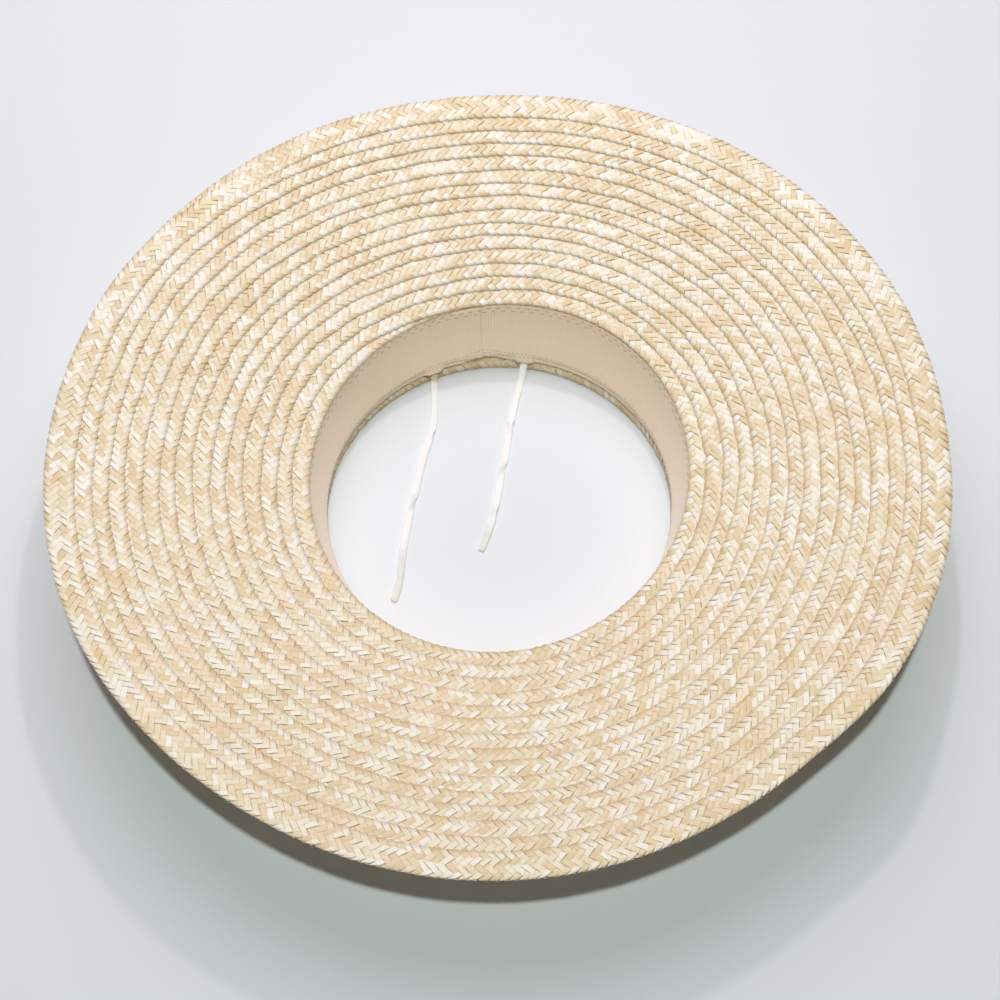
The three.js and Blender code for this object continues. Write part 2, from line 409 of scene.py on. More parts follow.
# %% [markdown]
# ## The drawstring
#
# The drawstring is a flat white cord, plaited from fine thread. Its two ends come out from
# under the ribbon at the back and lie loose on the floor. A limp cord keeps its flat side down
# most of the way, but here and there it rolls onto one edge, which shows as a narrow place.
#
# A curve with a bevel would give a plain tape. Instead the cord is swept point by point, so
# that it can roll, swell and dip with each strand of its plait, and stay on the floor.

# %% Profile of the ribbon along the wall
RIBBON_EDGE = 5.8 * MM
HEM_HEIGHT = 2.4 * MM
CHANNEL_HEIGHT = 6 * MM
OVERLAP_LENGTH = 9 * MM
OVERLAP_FADE = 5 * MM
SEAM_AZIMUTH = 96.0
SEAM_LIFT = 2.5 * MM
SEAM_LIFT_REACH = 15 * MM
CORD_WIDTH = 3.5 * MM
CORD_THICKNESS = 1.2 * MM
LEFT_EXIT, RIGHT_EXIT = 112.0, 82.3
TABLE_STEPS = 1440
RIBBON_TOP = WALL_HEIGHT - CLEARANCE
CHANNEL_GAP = CORD_THICKNESS + 2 * CLEARANCE
CHANNEL_HALF = CORD_WIDTH / 2 + CLEARANCE
CORD_LEVEL = RIBBON_EDGE + CHANNEL_HEIGHT


def arc_table():
    """Azimuths round the band and how far along its lower edge each lies."""
    azimuth = np.linspace(0, 360, TABLE_STEPS + 1)
    return azimuth, run_along(wall_point(azimuth, 0.0))


TABLE_AZIMUTH, TABLE_ARC = arc_table()
BAND_ROUND = TABLE_ARC[-1]


def arc_at(azimuth):
    return np.interp(azimuth, TABLE_AZIMUTH, TABLE_ARC)


def arc_between(start, azimuth):
    """Distance along the band from start to azimuth, from minus half to half of the way round."""
    gap = arc_at(azimuth % 360) - arc_at(start)
    return (gap + BAND_ROUND / 2) % BAND_ROUND - BAND_ROUND / 2


def ribbon_edge(azimuth):
    near = 1 - smoothstep(np.abs(arc_between(SEAM_AZIMUTH, azimuth)), 0, SEAM_LIFT_REACH)
    return RIBBON_EDGE + SEAM_LIFT * near


def hem_gap(azimuth):
    """Room behind the lower hem: sewn close, and open for the cord at its two exits."""
    to_exits = [np.abs(arc_between(place, azimuth)) for place in (LEFT_EXIT, RIGHT_EXIT)]
    half = CORD_WIDTH / 2 + 2 * CLEARANCE
    openness = 1 - smoothstep(np.minimum(*to_exits), half, half + CORD_WIDTH)
    return mix(CLEARANCE, CHANNEL_GAP, openness)


def ribbon_gap(azimuth, height):
    """How far the ribbon's outer side stands inside the wall."""
    low, high = CORD_LEVEL - CHANNEL_HALF, CORD_LEVEL + CHANNEL_HALF
    into = smoothstep(height, np.maximum(low - HEM_HEIGHT / 2, ribbon_edge(azimuth)), low)
    out_of = smoothstep(height, high - 2 * MM, high + 5 * HEM_HEIGHT)
    lower = mix(hem_gap(azimuth), CHANNEL_GAP, into)
    return mix(lower, CLEARANCE, out_of)


def ribbon_layers(azimuth):
    past = arc_between(SEAM_AZIMUTH, azimuth)
    fade = smoothstep(past, OVERLAP_LENGTH, OVERLAP_LENGTH + OVERLAP_FADE)
    return np.where(past < 0, 1.0, 2.0 - fade)


print("the band is", round(BAND_ROUND, 4), "m round")

# %% Routes of the tails
EXIT_SLANT = math.radians(45)
BEND_POINTS, BEND_START = 5, 0.1
TAIL_STEP = 0.32 * MM
TAILS = {
    "left": {
        "exit": LEFT_EXIT,
        "route": [
            (-31.6, 62.2), (-31.8, 53), (-33.3, 44.9), (-35.2, 36.7), (-37.2, 27.4), (-38.9, 17.5),
            (-40.8, 6), (-42.6, -5), (-43.9, -14), (-44.8, -23), (-45.5, -32), (-46.6, -41),
            (-48.3, -48.5),
        ],
        "rolls": [35.5, 76.0, 118.0],
        "beige": 5.0,
        "tip": 97.0,
    },
    "right": {
        "exit": RIGHT_EXIT,
        "route": [
            (6.9, 62.4), (5.3, 53), (3.9, 43), (2.6, 33), (1, 23), (-0.6, 12.5), (-2, 3), (-4, -6),
            (-6.3, -14), (-8.6, -20.5),
        ],
        "rolls": [38.0, 62.0, 88.0],
        "beige": -9.0,
        "tip": 90.0,
    },
}


def eased_curve(points, pieces=40):
    """A centripetal Catmull-Rom curve through the points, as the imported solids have."""
    points = np.asarray(points)
    points = np.vstack([2 * points[0] - points[1], points, 2 * points[-1] - points[-2]])
    curve = []
    for p0, p1, p2, p3 in zip(points, points[1:], points[2:], points[3:]):
        d0, d1, d2 = (np.linalg.norm(b - a) ** 0.5 for a, b in ((p0, p1), (p1, p2), (p2, p3)))
        m1 = ((p1 - p0) / d0 - (p2 - p0) / (d0 + d1) + (p2 - p1) / d1) * d1
        m2 = ((p2 - p1) / d1 - (p3 - p1) / (d1 + d2) + (p3 - p2) / d2) * d1
        t = np.linspace(0, 1, pieces, endpoint=False)[:, None]
        curve.append(
            (2 * t**3 - 3 * t**2 + 1) * p1 + (t**3 - 2 * t**2 + t) * m1
            + (3 * t**2 - 2 * t**3) * p2 + (t**3 - t**2) * m2
        )
    return np.vstack([*curve, points[-2:-1]])


def evenly(curve, spacing):
    """The curve again with points at an even spacing, and how far along it each lies."""
    run = run_along(curve)
    places = np.linspace(0, run[-1], round(run[-1] / spacing) + 1)
    return np.stack([np.interp(places, run, curve[:, axis]) for axis in range(3)], axis=1), places


def tail_path(tail):
    """Out of the hem on a slant, down to the floor, then along the route."""
    laid = CORD_THICKNESS / 2 + CLEARANCE / 3
    below = CLEARANCE / 2 + CORD_THICKNESS / 2 * math.sin(EXIT_SLANT)
    gap = CLEARANCE + CORD_THICKNESS / 2
    exit_place = wall_point(tail["exit"], RIBBON_EDGE - below, -gap)
    route = np.array([(x * MM, y * MM, laid) for x, y in tail["route"]])
    under = np.array([exit_place[0], exit_place[1], laid])
    along = (route[0] - under) / np.linalg.norm(route[0] - under)
    drop = exit_place[2] - laid
    corner = under + along * drop * math.tan(EXIT_SLANT)
    start = mix(exit_place, corner, BEND_START)
    stop = corner + along * drop / math.cos(EXIT_SLANT)
    share = np.linspace(0, 1, BEND_POINTS)[:, None]
    bend = (1 - share) ** 2 * start + 2 * share * (1 - share) * corner + share**2 * stop
    return np.vstack([exit_place, bend, route])


def unit(vectors):
    return vectors / np.linalg.norm(vectors, axis=-1, keepdims=True)


def carried_across(points, first):
    """The way across a cord, carried along it without turning, from its first direction."""
    tangents = unit(np.gradient(points, axis=0))
    across = np.empty_like(points)
    current = np.asarray(first, dtype=float)
    for index, tangent in enumerate(tangents):
        current = current - tangent * (current @ tangent)
        current = current / np.linalg.norm(current)
        across[index] = current
    return tangents, across


tail_lengths = [evenly(eased_curve(tail_path(tail)), MM)[1][-1] for tail in TAILS.values()]
print("tails are", [round(length, 4) for length in tail_lengths], "m long")

# %% [markdown]
# ### Cord finish
#
# The cord is white cotton. It carries its own coordinates: the distance along it, the place
# across it, and how beige it is where it comes out of the ribbon. Its colour is painted a little
# darker in the grooves between its strands, as painted shade. Towards its free ends the colour
# turns greyer.

# %% Cord finish
CORD_WHITE = linear(255, 254, 253)
# Painted shade: the cord takes this darker colour in the grooves between its strands.
CORD_GROOVE_SHADE = linear(247, 245, 241)
CORD_BEIGE = linear(214, 200, 172)
CORD_GREY = linear(226, 226, 220)


def thread_group():
    """A mask of fine crossing threads with some slub, for cloth and cord."""
    group, source, result = new_group(
        "Threads",
        "ShaderNodeTree",
        {"Place": "Vector", "Fineness": "Float"},
        {"Mask": "Float", "Slub": "Float"},
    )
    place = scaled(group, source["Place"], source["Fineness"])
    inputs = {"Vector": place, "Scale": 1.0, "Distortion": 0.6}
    waves = add_node(group, "ShaderNodeTexWave", inputs, bands_direction="Y").outputs["Fac"]
    group.links.new(waves, result["Mask"])
    group.links.new(noise(group, place, 0.35, 3.0)[0], result["Slub"])
    return group


threads = thread_group()


def cord_material():
    material, tree, shader = new_material(
        "cotton_cord", {"Roughness": 0.7, "Sheen Weight": 0.5, "Sheen Roughness": 0.5}
    )
    inputs = {"Place": read(tree, "cord_place"), "Fineness": 3.0}
    mask = add_node(tree, "ShaderNodeGroup", inputs, node_tree=threads).outputs["Mask"]
    tint_and_shade = separated(tree, read(tree, "cord_tint_and_shade"))
    # Painted shade: darker where the strand relief sinks, in the grooves between strands.
    groove_shaded = do_math(tree, "MULTIPLY_ADD", mask, 0.35, tint_and_shade["Z"])
    white = ramp(tree, groove_shaded, [(0.15, CORD_GROOVE_SHADE), (0.75, CORD_WHITE)])
    beige = mix_colours(tree, tint_and_shade["X"], white, CORD_BEIGE)
    colour = mix_colours(tree, tint_and_shade["Y"], beige, CORD_GREY)
    tree.links.new(colour, shader.inputs["Base Color"])
    add_bump(tree, shader, mask, 0.4, 0.04 * MM)
    return material


cotton = cord_material()

# %% The two tails
CORD_SIDES = 14
FLATNESS = (0.8, 0.6)
STRAND_PITCH = 1.9 * MM
STRAND_RELIEF = 0.1 * MM
STRAND_SLANT = 0.75
STRAND_SHIFT = 0.25
STRAND_SWELL = 0.6
END_ROUNDING = 0.8 * MM
END_SHARE = 0.55
ROLL_LENGTH = 12.0 * MM
ROLL_ANGLE = math.radians(52)
BEIGE_FADE = (1.5 * MM, 0.5 * MM)
TIP_GREY = 0.75
TIP_FADE = 12 * MM


def cord_section():
    """The rounded flat outline of the cord, from minus one to one each way."""
    angle = (np.arange(CORD_SIDES) + 0.5) * 2 * math.pi / CORD_SIDES
    flat_x = np.sign(np.cos(angle)) * np.abs(np.cos(angle)) ** FLATNESS[0]
    flat_y = np.sign(np.sin(angle)) * np.abs(np.sin(angle)) ** FLATNESS[1]
    return angle, flat_x, flat_y


def sweep_cord(name, points, places, across, turned, tints):
    """A flat plaited cord along points, its broad side along across, closed at both ends."""
    tangents = unit(np.gradient(points, axis=0))
    up = np.cross(tangents, across)
    sideways = np.cos(turned)[:, None] * across + np.sin(turned)[:, None] * up
    proud = np.cos(turned)[:, None] * up - np.sin(turned)[:, None] * across
    angle, flat_x, flat_y = cord_section()
    phase = places[:, None] / STRAND_PITCH - STRAND_SLANT * np.abs(flat_x) + STRAND_SHIFT * (flat_x > 0)
    strand = np.abs(np.sin(math.pi * phase)) ** STRAND_SWELL
    relief = STRAND_RELIEF * (strand - 1)
    from_end = np.minimum(places, places[-1] - places)[:, None]
    full = mix(END_SHARE, 1, np.sqrt(np.clip(from_end / END_ROUNDING, 0, 1)))
    x = (CORD_WIDTH / 2 * flat_x + relief * np.cos(angle)) * full
    y = (CORD_THICKNESS / 2 * flat_y + relief * np.sin(angle)) * full
    surface = points[:, None] + x[..., None] * sideways[:, None] + y[..., None] * proud[:, None]
    count = len(points)
    faces = strip_faces(count, CORD_SIDES)
    faces.append(tuple(range(CORD_SIDES))[::-1])
    faces.append(tuple(range((count - 1) * CORD_SIDES, count * CORD_SIDES)))
    mesh = mesh_from(name, surface, faces)
    place = np.broadcast_arrays(CORD_WIDTH / 2 / MM * flat_x, places[:, None] / MM, strand)
    # The third part is the strand relief, which paints shade into the grooves.
    shading = np.broadcast_arrays(tints[0][:, None], tints[1][:, None], strand)
    store_vectors(mesh, "cord_place", np.stack(place, axis=-1))
    store_vectors(mesh, "cord_tint_and_shade", np.stack(shading, axis=-1))
    mesh.materials.append(cotton)
    mesh.shade_smooth()
    return link(name, mesh)


def make_tail(side):
    tail = TAILS[side]
    path, places = evenly(eased_curve(tail_path(tail)), TAIL_STEP)
    beside = wall_point(tail["exit"] - 1, 0.0) - wall_point(tail["exit"] + 1, 0.0)
    tangents, across = carried_across(path, unit(beside))
    up = np.cross(tangents, across)
    turned = np.zeros(len(places))
    for number, middle in enumerate(tail["rolls"]):
        near = 1 - smoothstep(np.abs(places - middle * MM), 0, ROLL_LENGTH / 2)
        turned = turned + (-1) ** number * ROLL_ANGLE * near
    _, flat_x, flat_y = cord_section()
    wide = np.cos(turned) * across[:, 2] + np.sin(turned) * up[:, 2]
    thick = np.cos(turned) * up[:, 2] - np.sin(turned) * across[:, 2]
    below = CORD_WIDTH / 2 * np.outer(wide, flat_x) + CORD_THICKNESS / 2 * np.outer(thick, flat_y)
    lifted = path.copy()
    lifted[:, 2] = np.maximum(path[:, 2], below.max(axis=1) + CLEARANCE / 3)
    from_beige = places - tail["beige"] * MM
    beige = 1 - smoothstep(from_beige, -BEIGE_FADE[0], BEIGE_FADE[1])
    tip = TIP_GREY * smoothstep(places - tail["tip"] * MM, 0, TIP_FADE)
    piece = sweep_cord(f"cord_tail_{side}", lifted, places, across, turned, (beige, tip))
    finish_piece(piece, f"drawstring_tail_{side}")
    print(piece.name, "is", round(float(places[-1]), 4), "m long")


for tail_side in TAILS:
    make_tail(tail_side)

# %% [markdown]
# Between the tails the cord runs hidden behind the ribbon, once round the front. It is swept
# in the same way along the wall, with its broad side against the straw, so that nothing is
# missing where the ribbon stands open at the two exits.

# %% The hidden run
RUN_BEND_POINTS = 10
RUN_STEP = 1.0


def azimuth_along(azimuth, distance):
    """The azimuth a distance further round the band."""
    arc = arc_at(azimuth) + distance
    return np.interp(arc % BAND_ROUND, TABLE_ARC, TABLE_AZIMUTH)


def make_run():
    radius = CHANNEL_HEIGHT - CLEARANCE / 2
    angle = np.linspace(0, math.pi / 2, RUN_BEND_POINTS)
    sideways, height = radius * (1 - np.cos(angle)), CORD_LEVEL - radius * (1 - np.sin(angle))
    rise = azimuth_along(LEFT_EXIT, sideways)
    fall = azimuth_along(RIGHT_EXIT, -sideways)[::-1] + 360
    level = np.arange(rise[-1] + RUN_STEP, fall[0] - RUN_STEP / 2, RUN_STEP)
    azimuth = np.concatenate([rise, level, fall])
    heights = np.concatenate([height, np.full(len(level), CORD_LEVEL), height[::-1]])
    gap = CLEARANCE + CORD_THICKNESS / 2
    path = wall_point(azimuth, heights, -gap)
    up_wall = wall_point(azimuth, heights + MM) - wall_point(azimuth, heights - MM)
    round_wall = wall_point(azimuth + 0.5, heights) - wall_point(azimuth - 0.5, heights)
    square = unit(np.cross(up_wall, round_wall))
    across = unit(np.cross(unit(np.gradient(path, axis=0)), square))
    places = run_along(path)
    still = np.zeros(len(places))
    run = sweep_cord("cord_run", path, places, across, still, (still, still))
    finish_piece(run, "drawstring_run")


make_run()

# %% [markdown]
# ### Wheat straw
#
# A split and flattened straw is satin on its outer skin and full of fine streaks that run along
# it. No two straws have one colour: most are cream or gold, some are nearly white and shine,
# a few are tan or greenish. A picture could give that, but here the plait carries it: each straw
# keeps a tone and a chance number as attributes, and the streaks follow its own length. The nearly
# white tones are partly the straws' own and partly painted highlight, for the shine of flat facets.
# A warm brown on the folds and side edges of the straws is painted shade, for the shade in the
# crevices between rows and between straws.

# %% Straw finish
# The near-white end of the ramp is partly the straws' own pale tone and partly painted highlight, for the
# shine of their flat facets.
STRAW_TONES = [
    (0.00, linear(253, 248, 240)),
    (0.18, linear(249, 241, 226)),
    (0.34, linear(244, 231, 206)),
    (0.50, linear(239, 221, 189)),
    (0.66, linear(235, 213, 177)),
    (0.80, linear(230, 203, 160)),
    (0.90, linear(224, 190, 144)),
    (1.00, linear(225, 207, 164)),
]
STRAW_TINTS = [
    (0.00, linear(228, 236, 190)),
    (0.30, linear(246, 236, 210)),
    (0.70, linear(250, 236, 214)),
    (1.00, linear(255, 222, 182)),
]
# Painted shade: a warm brown on the straws' folds and side edges, for the shade in the crevices between rows
# and between straws.
STRAW_FOLD_SHADE = linear(204, 136, 66)
STREAKS_ALONG = 0.5
STREAKS_ACROSS = 4.5
CHANCE_DEPTH = 0.68
STREAK_DEPTH = 0.95
CLOUD_MIDDLE, CLOUD_DEPTH = 0.53, 1.9
CLOUD_SCALE, STREAK_SCALE = 1.5, 1.6
GRAIN_APART = 97.0
TINT_SHARE, TINT_SHUFFLE = 0.17, 13.0
FOLD_SHADE_FROM = 0.58
SHADE_BY_CLOUD, SHADE_LEAST = 1.6, 0.1
ROUGH_BY_STREAK, ROUGH_LEAST = 0.3, 0.3


def straw_group():
    """Colour, roughness and height of straw from its tone, its chance number and its grain."""
    group, source, result = new_group(
        "Straw grain",
        "ShaderNodeTree",
        {"Tone": "Float", "Chance": "Float", "Grain": "Vector"},
        {"Color": "Color", "Roughness": "Float", "Height": "Float"},
    )
    tone, chance, grain = (source[name] for name in ("Tone", "Chance", "Grain"))
    parts = separated(group, grain)
    far = do_math(group, "MULTIPLY", chance, GRAIN_APART)
    stretched = combined(
        group,
        X=do_math(group, "MULTIPLY", parts["X"], STREAKS_ALONG),
        Y=do_math(group, "MULTIPLY", parts["Y"], STREAKS_ACROSS),
        Z=far,
    )
    streaks = noise(group, stretched, STREAK_SCALE, 3.0)[0]
    more = {"W": far, "Roughness": 0.7}
    clouds = noise(group, grain, CLOUD_SCALE, 4.0, more, noise_dimensions="4D")[0]
    shifted = added_spread(group, tone, chance, 0.5, CHANCE_DEPTH)
    streaky = added_spread(group, shifted, streaks, 0.5, STREAK_DEPTH)
    mottled = added_spread(group, streaky, clouds, CLOUD_MIDDLE, CLOUD_DEPTH)
    tint = ramp(group, other_chance(group, chance, TINT_SHUFFLE), STRAW_TINTS)
    skin = mix_colours(group, TINT_SHARE, ramp(group, mottled, STRAW_TONES), tint)
    # Painted shade at folds and side edges, read from the grain's third part.
    inputs = {"Value": parts["Z"], "From Min": FOLD_SHADE_FROM, "From Max": 1.0}
    shading = add_node(group, "ShaderNodeMapRange", inputs).outputs["Result"]
    uneven = do_math(group, "MULTIPLY_ADD", clouds, SHADE_BY_CLOUD, SHADE_LEAST)
    fold_shade = do_math(group, "MULTIPLY", shading, uneven)
    rough = do_math(group, "MULTIPLY_ADD", streaks, ROUGH_BY_STREAK, ROUGH_LEAST)
    group.links.new(mix_colours(group, fold_shade, skin, STRAW_FOLD_SHADE), result["Color"])
    group.links.new(rough, result["Roughness"])
    group.links.new(streaks, result["Height"])
    return group


def straw_material():
    material, tree, shader = new_material("wheat_straw", {"Specular IOR Level": 0.45})
    inputs = {
        "Tone": read(tree, "straw_tone", "Fac"),
        "Chance": read(tree, "straw_chance", "Fac"),
        "Grain": read(tree, "straw_grain"),
    }
    group = add_node(tree, "ShaderNodeGroup", inputs, node_tree=straw_group())
    tree.links.new(group.outputs["Color"], shader.inputs["Base Color"])
    tree.links.new(group.outputs["Roughness"], shader.inputs["Roughness"])
    add_bump(tree, shader, group.outputs["Height"], 0.6, 0.08 * MM)
    return material


straw = straw_material()
print("finish:", straw.name)

# %% [markdown]
# ## The plait
#
# The braid is a flat plait of seven straws. Each straw crosses the braid on a slant, folds over
# its edge and comes back on the other slant. On the way it lies over one straw, under two, over
# two and under the last one, which gives the herringbone of two whole columns between two edges.
#
# One straw is enough to make it all. A crossing is modelled once, in plain coordinates: x counts
# straws along the braid, y is the share of its width and z its height. The way back is the same
# crossing turned over sideways. Geometry Nodes set out the crossings, give each straw its tone,
# and then bend the whole plait along a row of the hat. Modelling each straw by hand would take
# weeks, and a texture would lose the relief that catches the light.

# %% One crossing of one straw
STRAWS = 7
STEPS_ACROSS = STRAWS / 2
STRAW_HEIGHT = 0.2 * MM
STRAW_HALF_THICKNESS = 0.1 * MM
FOLD_REACH = 0.02
FOLD_SKEW = 0.4
DIVE = 0.05
STRAW_FILL = 1.08
# How much painted shade a straw's side edges get.
EDGE_SHADE = 0.88
GRAIN_LENGTH = 18.0
DIVES = ((1.5, 1.0), (3.5, -1.0), (5.5, 1.0))
CROSSING_ROWS = [
    {"share": -FOLD_REACH, "height": 0.7, "skew": FOLD_SKEW, "fold": 0.7},
    *(
        {"share": place / STRAWS - turn * DIVE, "height": turn * height, "skew": 1.0, "fold": 0.0}
        for place, height in DIVES
        for turn in (1, -1)
    ),
    {"share": 1 + FOLD_REACH, "height": -0.7, "skew": -FOLD_SKEW, "fold": 0.7},
]
STRAW_SECTION = [(-1.0, 0.5), (-0.85, -0.9), (0.85, -0.9), (1.0, 0.5), (0.8, 1.0), (-0.8, 1.0)]


def make_crossing():
    points, grain = [], []
    for row in CROSSING_ROWS:
        for side, bulge in STRAW_SECTION:
            share = row["share"] - row["skew"] * side * 0.5 / STRAWS
            slant = min(max(share, 0.0), 1.0)
            x = STEPS_ACROSS * slant + 0.5 * STRAW_FILL * side
            z = STRAW_HEIGHT * row["height"] + STRAW_HALF_THICKNESS * bulge
            points.append((x, share, z))
            # The grain's third part is how much painted shade a point gets, at folds and side edges.
            shading = max(row["fold"], EDGE_SHADE * (abs(side) == 1))
            grain.append((GRAIN_LENGTH * share, side, shading))
    sides = len(STRAW_SECTION)
    faces = strip_faces(len(CROSSING_ROWS), sides)
    faces.append(tuple(range(sides))[::-1])
    faces.append(tuple(range(len(points) - sides, len(points))))
    mesh = mesh_from("crossing", points, faces)
    store_vectors(mesh, "straw_grain", grain)
    return link("crossing", mesh)


crossing = make_crossing()
print("one crossing has", len(crossing.data.polygons), "faces")

# %% The plait as a tree of nodes
TONE_RUN = 7
PATCH_PER_CELL, PATCH_PER_SEED = 0.22, 3.7
PATCH_RANGE = (0.3, 0.7)
STRAND_LAG = 11.0
LEAD, TRAIL = 1, 8
STRAW_SHIFT = 0.26
STRAW_WIDTH_SPREAD, WIDTH_SHUFFLE = 0.09, 17.0
WOBBLE_ALONG, WOBBLE_UP = 0.22 * MM, 0.12 * MM
WOBBLE_SCALE, WOBBLE_PER_SEED = (1.4, 4.5, 0.0), 5.1
EDGE_EASE = 4.0
OWN_TONE, PATCH_TONE = 0.45, 0.55
SEED_THERE, SEED_BACK = 101.0, 202.0


def random_value(tree, number, seed):
    inputs = {"ID": number, "Seed": seed}
    return add_node(tree, "FunctionNodeRandomValue", inputs, data_type="FLOAT").outputs["Value"]


def straw_tone(tree, index, source):
    """The tone of each straw, which it keeps for a while, and of the patch where it lies."""
    strand = do_math(tree, "MODULO", index, float(STRAWS))
    shifted = do_math(tree, "MULTIPLY_ADD", strand, STRAND_LAG, index)
    batch = do_math(tree, "FLOOR", do_math(tree, "DIVIDE", shifted, float(STRAWS * TONE_RUN)))
    straw_number = do_math(tree, "MULTIPLY_ADD", batch, float(STRAWS), strand)
    own_tone = random_value(tree, straw_number, source["Seed"])
    place = combined(
        tree,
        X=do_math(tree, "MULTIPLY", index, PATCH_PER_CELL),
        Y=do_math(tree, "MULTIPLY", source["Seed"], PATCH_PER_SEED),
    )
    patches = noise(tree, place, 1.0, 1.0, noise_dimensions="2D")[0]
    inputs = {"Value": patches, "From Min": PATCH_RANGE[0], "From Max": PATCH_RANGE[1]}
    patch = add_node(tree, "ShaderNodeMapRange", inputs).outputs[0]
    patch_tone = do_math(tree, "MULTIPLY", patch, PATCH_TONE)
    mixed_tone = do_math(tree, "MULTIPLY_ADD", own_tone, OWN_TONE, patch_tone)
    return do_math(tree, "ADD", mixed_tone, source["Deeper"])


def set_out(tree, source, start, turn, seed_shift):
    """The crossings of one direction, each with a tone and a chance number of its own."""
    inputs = {"Count": source["Cells"], "Start Location": start, "Offset": (1.0, 0.0, 0.0)}
    places = add_node(tree, "GeometryNodeMeshLine", inputs).outputs["Mesh"]
    shape = add_node(tree, "GeometryNodeObjectInfo", {"Object": source["Crossing"]})
    inputs = {"Points": places, "Instance": shape.outputs["Geometry"], "Rotation": turn}
    instances = add_node(tree, "GeometryNodeInstanceOnPoints", inputs).outputs["Instances"]
    index = add_node(tree, "GeometryNodeInputIndex").outputs[0]
    tone = straw_tone(tree, index, source)
    chance = random_value(tree, index, do_math(tree, "ADD", source["Seed"], seed_shift))
    for name, value in (("straw_tone", tone), ("straw_chance", chance)):
        instances = add_node(
            tree,
            "GeometryNodeStoreNamedAttribute",
            {"Geometry": instances, "Name": name, "Value": value},
            data_type="FLOAT",
            domain="INSTANCE",
        ).outputs["Geometry"]
    return instances


def guide_share(tree, cells, x, pick, side):
    """How far along the guide a point belongs, where straws differ a little in place and width."""
    other = do_math(tree, "SUBTRACT", other_chance(tree, pick, WIDTH_SHUFFLE), 0.5)
    wider = do_math(tree, "MULTIPLY", do_math(tree, "MULTIPLY", other, side), STRAW_WIDTH_SPREAD)
    placed = added_spread(tree, x, pick, 0.5, STRAW_SHIFT)
    passed = do_math(tree, "ADD", do_math(tree, "ADD", placed, wider), float(LEAD))
    return do_math(tree, "DIVIDE", passed, do_math(tree, "ADD", cells, float(LEAD + TRAIL)))


def wobble(tree, seed, place, share):
    """How far a point strays along the braid, where it isn't near an edge, and up from it."""
    spread = do_vector(tree, "MULTIPLY", place, WOBBLE_SCALE)
    moved_on = combined(tree, Z=do_math(tree, "MULTIPLY", seed, WOBBLE_PER_SEED))
    colour = noise(tree, do_vector(tree, "ADD", spread, moved_on), 1.0, 2.0)[1]
    parts = separated(tree, do_vector(tree, "SUBTRACT", colour, (0.5, 0.5, 0.5)))
    off_middle = do_math(tree, "ABSOLUTE", do_math(tree, "MULTIPLY_ADD", share, 2.0, -1.0))
    inside = do_math(tree, "MAXIMUM", do_math(tree, "SUBTRACT", 1.0, off_middle), 0.0)
    ease = do_math(tree, "MINIMUM", do_math(tree, "MULTIPLY", inside, EDGE_EASE), 1.0)
    aside = do_math(tree, "MULTIPLY", do_math(tree, "MULTIPLY", parts["X"], 2 * WOBBLE_ALONG), ease)
    return aside, do_math(tree, "MULTIPLY", parts["Z"], 2 * WOBBLE_UP)


def plait_tree():
    """Bends a plait along a guide whose points store the way across to the braid's other edge."""
    tree, source, result = new_group(
        "Flat plait",
        "GeometryNodeTree",
        {
            "Guide": "Geometry", "Crossing": "Object", "Cells": "Int", "Seed": "Int",
            "Tilt": "Float", "Deeper": "Float", "Finish": "Material",
        },
        {"Plait": "Geometry"},
    )
    there = set_out(tree, source, (0.0, 0.0, 0.0), (0.0, 0.0, 0.0), SEED_THERE)
    back = set_out(tree, source, (2 * STEPS_ACROSS, 0.0, 0.0), (0.0, math.pi, 0.0), SEED_BACK)
    both = tree.nodes.new("GeometryNodeJoinGeometry")
    for instances in (there, back):
        tree.links.new(instances, both.inputs[0])
    plait = add_node(tree, "GeometryNodeRealizeInstances", {0: both.outputs[0]}).outputs[0]

    place = add_node(tree, "GeometryNodeInputPosition").outputs[0]
    flat = separated(tree, place)
    pick = stored(tree, "straw_chance", "FLOAT")
    side = separated(tree, stored(tree, "straw_grain"))["Y"]
    guide = add_node(tree, "GeometryNodeMeshToCurve", {0: source["Guide"]}).outputs[0]
    inputs = {
        "Curves": guide,
        "Value": stored(tree, "across"),
        "Factor": guide_share(tree, source["Cells"], flat["X"], pick, side),
    }
    sample = add_node(
        tree, "GeometryNodeSampleCurve", inputs, data_type="FLOAT_VECTOR", mode="FACTOR", use_all_curves=True
    )
    sideways, onward = sample.outputs["Value"], sample.outputs["Tangent"]
    upright = do_vector(tree, "NORMALIZE", do_vector(tree, "CROSS_PRODUCT", sideways, onward))
    leaning = do_math(tree, "MULTIPLY", do_math(tree, "SUBTRACT", pick, 0.5), side)
    raised = do_math(tree, "MULTIPLY_ADD", leaning, source["Tilt"], flat["Z"])
    aside, uneven = wobble(tree, source["Seed"], place, flat["Y"])
    bent = sample.outputs["Position"]
    height = do_math(tree, "ADD", raised, uneven)
    for direction, amount in ((sideways, flat["Y"]), (onward, aside), (upright, height)):
        bent = do_vector(tree, "ADD", bent, scaled(tree, direction, amount))
    moved = add_node(tree, "GeometryNodeSetPosition", {"Geometry": plait, "Position": bent}).outputs[0]
    tree.links.new(dressed(tree, moved, source["Finish"]), result["Plait"])
    return tree


plait_nodes = plait_tree()
print("plait tree has", len(plait_nodes.nodes), "nodes")

# %% [markdown]
# A guide tells the plait where to lie. Its points follow one edge of the braid, and each stores
# the step across to the other edge. The cell count is the braid's length over the spacing of
# the straws, so the plait keeps its scale from the opening to the rim. The guide runs on a
# little past both ends, because a straw that sets off near an end crosses beyond it.

# %% Braid along a guide
CELL = 3.9 * MM
STRAW_TILT = 0.5 * MM
GUIDE_STEP = 1.5
POINTS_PER_CELL = 1.5
SPARE_BEFORE, SPARE_AFTER = 12, 60
chance_source = np.random.default_rng(7)


